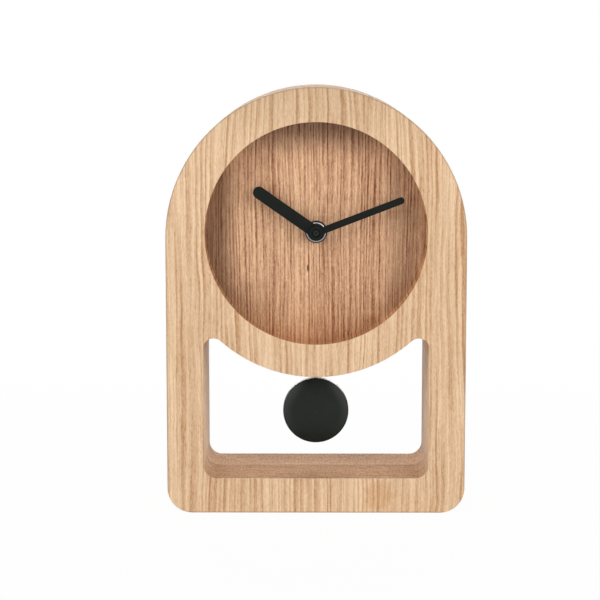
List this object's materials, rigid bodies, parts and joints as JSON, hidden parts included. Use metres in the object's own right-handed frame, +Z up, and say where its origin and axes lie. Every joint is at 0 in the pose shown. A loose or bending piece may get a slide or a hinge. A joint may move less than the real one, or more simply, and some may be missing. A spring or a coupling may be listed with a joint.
{
  "type": "desk pendulum clock",
  "caption": "Arched veneered desk clock with a recessed bare wooden dial, black baton hands, and a black pendulum bob swinging in a window below.",
  "frame": {"origin": "middle of the base, on the table", "axes": "+Z up, -Y out of the dial towards the viewer, +X to the viewer's right"},
  "size_m": [0.17, 0.0692, 0.2427],
  "materials": {
    "core_board": "raw fibreboard",
    "face_veneer": "satin lacquered pale veneer, upright grain",
    "edge_veneer": "satin lacquered pale veneer, grain along the strip",
    "window_veneer": "satin lacquered brown veneer, grain along the strip",
    "dial_veneer": "satin lacquered reddish veneer, upright grain",
    "black_shell": "fine moulded texture",
    "white_plastic": "moulded",
    "steel": "plain",
    "brass": "turned",
    "copper_wire": "enamelled wire",
    "rubber": "soft",
    "bright_nut": "bright plated",
    "black_hand": "matt black",
    "black_bob": "matt black",
    "bonded_magnet": "plastic bonded",
    "circuit": "lacquered",
    "chip": "potted",
    "battery_can": "printed sleeve, no lettering"
  },
  "bodies": {
    "case": {"front_board": "core_board", "rear_board": "core_board", "dial_board": "core_board", "front_veneer": "face_veneer", "rear_veneer": "face_veneer", "outer_edge_veneer": "edge_veneer", "base_veneer": "edge_veneer", "dial_rim_veneer": "edge_veneer", "window_front_veneer": "window_veneer", "window_rear_veneer": "window_veneer", "dial_veneer": "dial_veneer", "movement_front_shell": "black_shell", "movement_rear_shell": "black_shell", "train_plate": "white_plastic", "motor_bobbin": "white_plastic", "drive_bobbin": "white_plastic", "movement_screws": "steel", "lever_pin": "steel", "quartz_crystal": "steel", "motor_stator": "steel", "motor_core": "steel", "positive_contact": "steel", "negative_contact": "steel", "centre_bush": "brass", "motor_winding": "copper_wire", "drive_winding": "copper_wire", "rubber_gasket": "rubber", "bush_nut": "bright_nut", "bush_washer": "bright_nut", "circuit_board": "circuit", "circuit_chip": "chip"},
    "minute_set": {"minute_hand": "black_hand", "minute_pipe": "black_shell"},
    "hour_set": {"hour_hand": "black_hand", "hour_wheel": "brass"},
    "minute_wheel_set": {"minute_wheel": "white_plastic"},
    "setting_set": {"setting_stem": "white_plastic", "setting_knob": "black_shell"},
    "seconds_set": {"seconds_wheel": "brass"},
    "third_set": {"third_wheel": "white_plastic"},
    "centre_set": {"centre_wheel": "brass"},
    "intermediate_set": {"intermediate_wheel": "white_plastic"},
    "rotor_set": {"rotor_arbor": "steel", "rotor_magnet": "bonded_magnet"},
    "pendulum": {"pendulum_lever": "white_plastic", "lever_magnet": "bonded_magnet", "pendulum_rod": "steel", "pendulum_bob": "black_bob"},
    "battery": {"battery": "battery_can"}
  },
  "joints": [
    {"name": "minute_hand_turn", "type": "hinge", "parent": "case", "child": "minute_set", "pos_m": [0, 0, 0.1603], "axis": [0, 1, 0], "continuous": true},
    {"name": "hour_hand_turn", "type": "hinge", "parent": "case", "child": "hour_set", "pos_m": [0, 0, 0.1603], "axis": [0, 1, 0], "continuous": true},
    {"name": "minute_wheel_turn", "type": "hinge", "parent": "case", "child": "minute_wheel_set", "pos_m": [0.00789, 0, 0.16317], "axis": [0, 1, 0], "continuous": true},
    {"name": "setting_knob_turn", "type": "hinge", "parent": "case", "child": "setting_set", "pos_m": [0.01611, 0, 0.16492], "axis": [0, 1, 0], "continuous": true},
    {"name": "seconds_wheel_turn", "type": "hinge", "parent": "case", "child": "seconds_set", "pos_m": [0, 0, 0.1603], "axis": [0, 1, 0], "continuous": true},
    {"name": "third_wheel_turn", "type": "hinge", "parent": "case", "child": "third_set", "pos_m": [-0.00958, 0, 0.15681], "axis": [0, 1, 0], "continuous": true},
    {"name": "centre_wheel_turn", "type": "hinge", "parent": "case", "child": "centre_set", "pos_m": [0, 0, 0.1603], "axis": [0, 1, 0], "continuous": true},
    {"name": "intermediate_wheel_turn", "type": "hinge", "parent": "case", "child": "intermediate_set", "pos_m": [0.00758, 0, 0.15593], "axis": [0, 1, 0], "continuous": true},
    {"name": "rotor_turn", "type": "hinge", "parent": "case", "child": "rotor_set", "pos_m": [0.01349, 0, 0.15488], "axis": [0, 1, 0], "continuous": true},
    {"name": "pendulum_swing", "type": "hinge", "parent": "case", "child": "pendulum", "pos_m": [0, 0, 0.1353], "axis": [0, 1, 0], "range_deg": [-8, 8]},
    {"name": "battery_slide", "type": "slide", "parent": "case", "child": "battery", "axis": [0, 1, 0], "range_m": [0, 0.045]}
  ],
  "couplings": [
    {"joint": "hour_hand_turn", "follows": "minute_hand_turn", "ratio": 0.083333},
    {"joint": "minute_wheel_turn", "follows": "minute_hand_turn", "ratio": -0.33333},
    {"joint": "setting_knob_turn", "follows": "minute_hand_turn", "ratio": 1},
    {"joint": "third_wheel_turn", "follows": "seconds_wheel_turn", "ratio": -0.13333},
    {"joint": "centre_wheel_turn", "follows": "seconds_wheel_turn", "ratio": 0.016667},
    {"joint": "intermediate_wheel_turn", "follows": "seconds_wheel_turn", "ratio": -6},
    {"joint": "rotor_turn", "follows": "seconds_wheel_turn", "ratio": 30}
  ]
}
